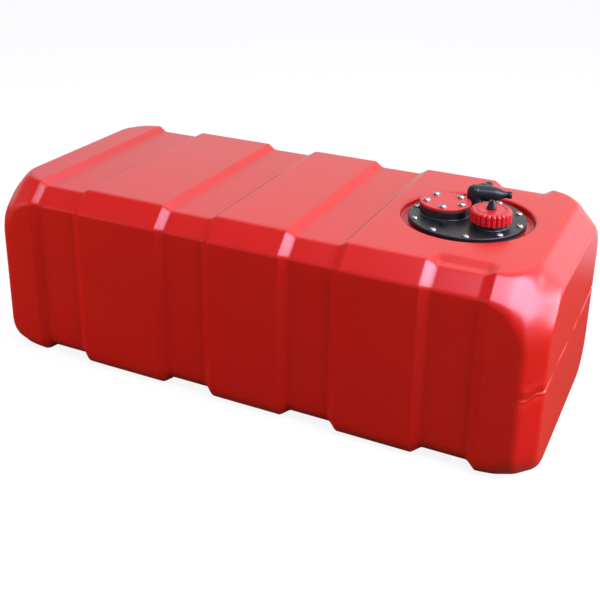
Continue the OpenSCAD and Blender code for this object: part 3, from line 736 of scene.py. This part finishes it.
cap_inside = np.array(
    [
        [groove_r + groove_edge, cap_top],
        [groove_r, cap_top - groove_edge],
        [groove_r, groove_low],
        [groove_in, groove_low],
        [groove_in, cap_top - groove_edge],
        [groove_in - groove_edge, cap_top],
        [cap_ring_r, cap_top],
        [vent_hole_r, cap_top],
        [vent_hole_r, cap_under],
        [skirt_r, cap_under],
        [skirt_r, skirt_z],
        [cap_r - cap_hem, skirt_z],
    ]
)


def lobed(profile, fade, count):
    """The cap's surface: at angle a the profile's radius is drawn in by depth fade (1 - |sin(n a / 2)|^0.7),
    which leaves n rounded lobes with narrow valleys; fade is 1 on the skirt and 0 inside the top edge."""
    sheet = turned(profile, (0, 0, 0), count)
    a = np.linspace(0, 2 * math.pi, count, endpoint=False)
    valley = 1 - np.abs(np.sin(lobe_count * a / 2)) ** 0.7
    radius = np.hypot(sheet[:, :, 0], sheet[:, :, 1])
    drawn = 1 - lobe_depth * fade[:, None] * valley[None] / radius
    return sheet * np.stack([drawn, drawn, np.ones_like(radius)], -1)


cap_profile = np.concatenate([cap_outside, cap_inside])
cap_fade = np.concatenate([np.ones(len(cap_outside)), np.zeros(len(cap_inside))])
cap_fade[[0, -1]] = hem_share
cap = from_sheets("fluted_cap", [lobed(cap_profile, cap_fade, lobe_count * lobe_columns) + (*filler_at, 0)])
cap.data.materials.append(polypropylene)
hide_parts("filler_cap")
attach(cap, "cap")

# The elbow is moulded in black acetal: a round body on a foot, a long tapered arm for the feed hose and a
# short branch behind it, each with a raised lip. Its stem passes through the plate to a nut below.
elbow_at, elbow_z, arm_axis_z, spigot_z = (248.0, 39.0), 265.5, 283.5, 250.0
elbow_r, stem_r, spigot_r = 10.75, 7.0, 4.3
elbow_foot_r, elbow_foot_h, elbow_foot_cut, elbow_foot_edge, elbow_root_r = 12.25, 4.0, 0.4, 0.6, 0.8
arm_turn, arm_root_r, arm_land_r, arm_length = 15.0, 10.5, 5.0, 48.0
branch_turn, branch_root_r, branch_land_r, branch_length = 75.0, 8.75, 6.0, 38.0
taper_from, land_length, lip_rise = 6.0, 6.0, 0.7
lip_points = ((0.2, 5.5), (0.0, 5.2), (0.0, 1.5), (0.25, 0.7))
outlet_r, outlet_from, outlet_edge = 2.8, 12.0, 0.3


def elbow_profile():
    """Profile of the elbow's body, from its low end up: spigot, stem, foot, a small root arc, and a dome,
    the superellipse (R cos(t)^0.8, R sin(t)^0.8) above the height of the arms."""
    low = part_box("pickup_elbow")[0].z / mm
    foot_top = elbow_z + elbow_foot_h
    t = np.linspace(0, math.pi / 2, 13)
    dome = np.stack([elbow_r * np.cos(t) ** 0.8, arm_axis_z + elbow_r * np.sin(t) ** 0.8], -1)
    cut, edge, root = elbow_foot_cut, elbow_foot_edge, elbow_root_r
    return np.concatenate(
        [
            [[0, low], [spigot_r, low], [spigot_r, spigot_z], [stem_r, spigot_z], [stem_r, elbow_z]],
            [[elbow_foot_r - cut, elbow_z], [elbow_foot_r, elbow_z + cut]],
            arc_profile((elbow_foot_r - edge, foot_top - edge), edge, 0, 90, 4),
            arc_profile((elbow_r + root, foot_top + root), root, 270, 180, 4),
            dome,
        ]
    )


def hose_arm(turn, root_r, land_r, length):
    """A hose arm along its axis: a full taper waist + (root - waist) (1 + cos(pi s^2.2)) / 2 from the body,
    a raised lip through lip_points, each so far in from the land and back from the arm's end, and a bore
    that goes back into the body."""
    waist = land_r - lip_rise
    s = np.linspace(0, 1, 15)
    taper_r = waist + (root_r - waist) * (1 + np.cos(math.pi * s**2.2)) / 2
    taper = np.stack([taper_r, taper_from + (length - taper_from - land_length) * s], -1)
    lip = [
        [waist, length - land_length],
        *[[land_r - inward, length - back] for inward, back in lip_points],
        [waist, length],
        [outlet_r + outlet_edge, length],
        [outlet_r, length - outlet_edge],
        [outlet_r, outlet_from],
        [0, outlet_from],
    ]
    axis = (math.cos(math.radians(turn)), math.sin(math.radians(turn)), 0)
    across = (-axis[1], axis[0], 0)
    profile = np.concatenate([[[0, 0], [root_r, 0]], taper, lip])
    return turned(profile, (*elbow_at, arm_axis_z), 72, axis, across)


elbow = from_sheets(
    "hose_elbow",
    [
        turned(elbow_profile(), (*elbow_at, 0), 96),
        hose_arm(arm_turn, arm_root_r, arm_land_r, arm_length),
        hose_arm(branch_turn, branch_root_r, branch_land_r, branch_length),
    ],
)

# Moulded acetal: black, smoother to the touch than the plate and without its grain, slightly uneven from
# the mould.
acetal, nodes = new_finish("moulded_black_acetal")
place = add_node(nodes, "ShaderNodeTexCoord").outputs["Object"]
cloud = add_node(nodes, "ShaderNodeTexNoise", {"Vector": place, "Scale": per_mm(14), "Detail": 3.0})
black = add_node(
    nodes,
    "ShaderNodeMix",
    {"Factor": cloud.outputs["Fac"], 6: colour("#0f1112"), 7: colour("#181a1c")},
    data_type="RGBA",
)
satin = add_node(
    nodes, "ShaderNodeMapRange", {"Value": cloud.outputs["Fac"], "To Min": 0.28, "To Max": 0.42}
)
uneven = add_node(
    nodes, "ShaderNodeBump", {"Height": cloud.outputs["Fac"], "Strength": 0.4, "Distance": 0.15 * mm}
)
shader = add_node(
    nodes,
    "ShaderNodeBsdfPrincipled",
    {
        "Base Color": black.outputs[2],
        "Roughness": satin.outputs["Result"],
        "IOR": 1.4,
        "Normal": uneven.outputs["Normal"],
    },
)
add_node(nodes, "ShaderNodeOutputMaterial", {"Surface": shader.outputs["BSDF"]})
elbow.data.materials.append(acetal)
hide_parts("pickup_elbow")
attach(elbow, "tank")

# The vent screw on the cap, the plug in the plate and the elbow's nut are small turned or moulded pieces in
# the same black acetal: the solids have their slots and flats, and only the finish is added.
dress(("vent_screw", "blanking_plug", "elbow_nut"), acetal)

# The pick-up tube and the cage of its strainer hang inside the tank in natural nylon: off-white and waxy,
# with faint cloudiness along the drawn tube.
natural_nylon, nodes = new_finish("natural_nylon")
place = add_node(nodes, "ShaderNodeTexCoord").outputs["Object"]
cloud = add_node(nodes, "ShaderNodeTexNoise", {"Vector": place, "Scale": per_mm(20), "Detail": 2.0})
ivory = add_node(
    nodes,
    "ShaderNodeMix",
    {"Factor": cloud.outputs["Fac"], 6: colour("#ddd9c8"), 7: colour("#e9e6da")},
    data_type="RGBA",
)
waxy = add_node(
    nodes, "ShaderNodeMapRange", {"Value": cloud.outputs["Fac"], "To Min": 0.35, "To Max": 0.5}
)
shader = add_node(
    nodes,
    "ShaderNodeBsdfPrincipled",
    {"Base Color": ivory.outputs[2], "Roughness": waxy.outputs["Result"], "IOR": 1.53},
)
add_node(nodes, "ShaderNodeOutputMaterial", {"Surface": shader.outputs["BSDF"]})
dress(("pickup_tube", "strainer_cage"), natural_nylon)

# The floor is a wide sheet of paper, in metres like the rest of the studio. It shows white to the camera,
# and in mirrored light where it lies behind the tank, and keeps a soft shadow. The light that it gives back
# is a dull brown, so that it doesn't wash out the front.
floor_half, floor_near, floor_far, floor_glow = 9.0, 0.45, 1.1, 0.88
floor_corners = [(x * floor_half, y * floor_half, 0) for x, y in ((-1, -1), (1, -1), (1, 1), (-1, 1))]
floor_mesh = bpy.data.meshes.new("floor")
floor_mesh.from_pydata(floor_corners, [], [(0, 1, 2, 3)])
floor = bpy.data.objects.new("floor", floor_mesh)
bpy.context.scene.collection.objects.link(floor)


def background_rays(tree, place, near, far):
    """1 for camera rays, and for mirrored and refracted rays that reach the background: behind the tank
    their share rises from 0 to 1 as the Y of place goes from near to far."""
    ray = add_node(tree, "ShaderNodeLightPath").outputs
    back = add_node(tree, "ShaderNodeSeparateXYZ", {"Vector": place}).outputs["Y"]
    behind = add_node(tree, "ShaderNodeMapRange", {"Value": back, "From Min": near, "From Max": far})
    either = {0: ray["Is Glossy Ray"], 1: ray["Is Transmission Ray"]}
    mirrored = add_node(tree, "ShaderNodeMath", either, operation="MAXIMUM").outputs[0]
    both = {0: mirrored, 1: behind.outputs["Result"]}
    backed = add_node(tree, "ShaderNodeMath", both, operation="MULTIPLY").outputs[0]
    seen = {0: ray["Is Camera Ray"], 1: backed}
    return add_node(tree, "ShaderNodeMath", seen, operation="MAXIMUM").outputs[0]


paper, nodes = new_finish("pale_studio_paper")
place = add_node(nodes, "ShaderNodeTexCoord").outputs["Object"]
shown = background_rays(nodes, place, floor_near, floor_far)
tone = add_node(
    nodes,
    "ShaderNodeMix",
    {"Factor": shown, 6: colour("#584b38"), 7: colour("#f4f4f4")},
    data_type="RGBA",
)
matt = add_node(nodes, "ShaderNodeBsdfDiffuse", {"Color": tone.outputs[2]})
white = add_node(nodes, "ShaderNodeEmission", {"Color": colour("#ffffff"), "Strength": 1.0})
share = add_node(nodes, "ShaderNodeMath", {0: shown, 1: floor_glow}, operation="MULTIPLY")
mixed = add_node(
    nodes, "ShaderNodeMixShader", {0: share.outputs[0], 1: matt.outputs[0], 2: white.outputs[0]}
)
add_node(nodes, "ShaderNodeOutputMaterial", {"Surface": mixed.outputs[0]})
floor_mesh.materials.append(paper)

# The room round the tank is dim and faintly blue, with four soft glows: behind the tank, above it at the
# back right, a smaller one behind its right end, and one in front at the left. The camera sees it white.
room_level, room_near, room_far = 0.13, 0.55, 0.85
glows = (
    ((0.1, 0.95, -0.3), 0.0, 0.5, 0.54),
    ((0.5, 0.6, 0.62), 0.0, 1.0, 1.0),
    ((0.1, 0.85, 0.52), 0.72, 0.95, 0.5),
    ((-0.62, -0.77, -0.1), 0.3, 1.0, 0.45),
)
world = bpy.data.worlds.new("studio")
bpy.context.scene.world = world
world.use_nodes = True
nodes = world.node_tree
nodes.nodes.clear()
towards = add_node(nodes, "ShaderNodeTexCoord").outputs["Generated"]
level = room_level
for aim, edge, full, strength in glows:
    facing = add_node(nodes, "ShaderNodeVectorMath", {0: towards, 1: aim}, operation="DOT_PRODUCT")
    glow = add_node(
        nodes,
        "ShaderNodeMapRange",
        {"Value": facing.outputs["Value"], "From Min": edge, "From Max": full, "To Max": strength},
    )
    added = {0: level, 1: glow.outputs["Result"]}
    level = add_node(nodes, "ShaderNodeMath", added, operation="ADD").outputs[0]
room = add_node(nodes, "ShaderNodeBackground", {"Color": colour("#ecebff"), "Strength": level})
white = add_node(nodes, "ShaderNodeBackground", {"Color": colour("#ffffff"), "Strength": 1.0})
shown = background_rays(nodes, towards, room_near, room_far)
mixed = add_node(nodes, "ShaderNodeMixShader", {0: shown, 1: room.outputs[0], 2: white.outputs[0]})
add_node(nodes, "ShaderNodeOutputWorld", {"Surface": mixed.outputs[0]})


# Seven lamps: a large soft one above the right end, a strip over the front edge, a broad one overhead, a
# fill on each side of the front that leaves no glints, a weak one behind at the right and one low beside
# the end.
def soft_lamp(name, at, aim, size, power, tint, glints=True):
    """A rectangular lamp of the given size, power and tint, turned so that it faces the aim; a fill lamp
    lights surfaces without glints, which are its own mirror image in them."""
    lamp = bpy.data.lights.new(name, "AREA")
    lamp.shape = "RECTANGLE"
    lamp.size, lamp.size_y = size
    lamp.energy = power
    lamp.color = colour(tint)[:3]
    holder = bpy.data.objects.new(name, lamp)
    holder.visible_glossy = glints
    back = Vector(at) - Vector(aim)
    holder.matrix_world = Matrix.Translation(at) @ back.to_track_quat("Z", "Y").to_matrix().to_4x4()
    bpy.context.scene.collection.objects.link(holder)


soft_lamp("right_lamp", (1.74, -0.25, 1.36), (0.3, 0.0, 0.2), (1.1, 1.35), 66.0, "#ccd8ff")
soft_lamp("front_strip", (0.87, -0.73, 1.5), (0.75, -0.05, 0.2), (1.5, 0.24), 20.0, "#dadcff")
soft_lamp("overhead", (-0.2, 0.5, 2.0), (-0.1, 0.0, 0.25), (2.0, 1.8), 8.0, "#fff8f2")
soft_lamp("left_fill", (-1.6, -0.9, 0.5), (-0.3, 0.0, 0.15), (1.0, 0.8), 27.0, "#fff4ea", glints=False)
soft_lamp("right_fill", (2.2, -0.75, 0.4), (0.0, 0.0, 0.15), (1.0, 0.8), 10.0, "#fff4ea", glints=False)
soft_lamp("back_right", (1.3, 1.85, 0.65), (0.4, 0.0, 0.25), (1.2, 0.9), 3.0, "#f4e8ff")
soft_lamp("right_low", (2.0, 0.7, 0.55), (0.4, 0.0, 0.15), (1.0, 0.8), 24.0, "#f3ecff")

# The camera stands at the photograph's place: turned 25 degrees to the right of the front and 21 degrees
# above the floor, with its frame shifted down because the photograph is cut from the lower part of the
# picture.
azimuth, elevation, roll = math.radians(25.37), math.radians(20.93), math.radians(0.91)
camera_at, sensor_width, lens_length = (0.556503, -1.156445, 0.732469), 36.0, 58.217
photo_pixels, shift_pixels = 600.0, -100.0
camera = bpy.data.cameras.new("camera")
camera.sensor_width, camera.lens = sensor_width, lens_length
camera.shift_y = shift_pixels / photo_pixels
viewer = bpy.data.objects.new("camera", camera)
viewer.matrix_world = (
    Matrix.Translation(camera_at)
    @ Matrix.Rotation(azimuth, 4, "Z")
    @ Matrix.Rotation(math.pi / 2 - elevation, 4, "X")
    @ Matrix.Rotation(roll, 4, "Z")
)
bpy.context.scene.collection.objects.link(viewer)
bpy.context.scene.camera = viewer
bpy.context.scene.view_settings.view_transform = "Standard"
